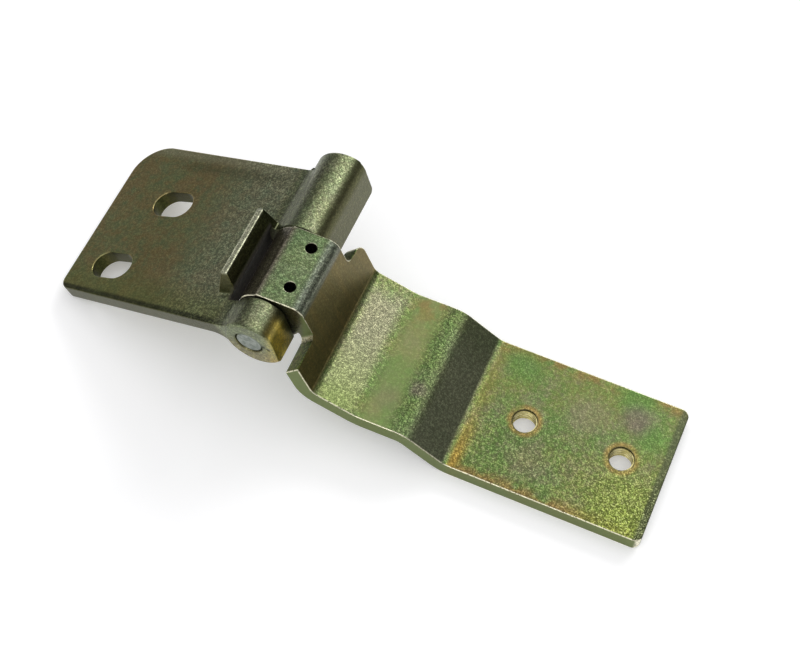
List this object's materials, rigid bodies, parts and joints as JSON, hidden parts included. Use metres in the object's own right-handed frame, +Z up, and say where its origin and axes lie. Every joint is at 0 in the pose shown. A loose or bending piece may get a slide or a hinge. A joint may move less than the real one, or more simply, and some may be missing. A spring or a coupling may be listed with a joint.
{
  "type": "car door hinge",
  "caption": "Steel car door hinge with a slotted pillar leaf, a cranked door strap with threaded holes, a stop lug and a pressed pin, in worn yellow zinc plating.",
  "frame": {"origin": "on the strap's seat face, midway between its two threaded holes", "axes": "+X along the strap towards its tip, +Y along the pin towards the long barrel, +Z up out of the strap's upper face"},
  "size_m": [0.1918, 0.066, 0.0415],
  "materials": {
    "leaf_plating": "yellow zinc plating, satin",
    "strap_plating": "yellow zinc plating, satin",
    "bare_steel": "turned"
  },
  "bodies": {
    "pillar": {"pillar_leaf": "leaf_plating", "hinge_pin": "bare_steel"},
    "strap": {"door_strap": "strap_plating"}
  },
  "joints": [
    {"name": "pin_turn", "type": "hinge", "parent": "pillar", "child": "strap", "pos_m": [-0.0923, 0.0016, 0.0316], "axis": [0, -1, 0], "range_deg": [-103, 88]}
  ]
}
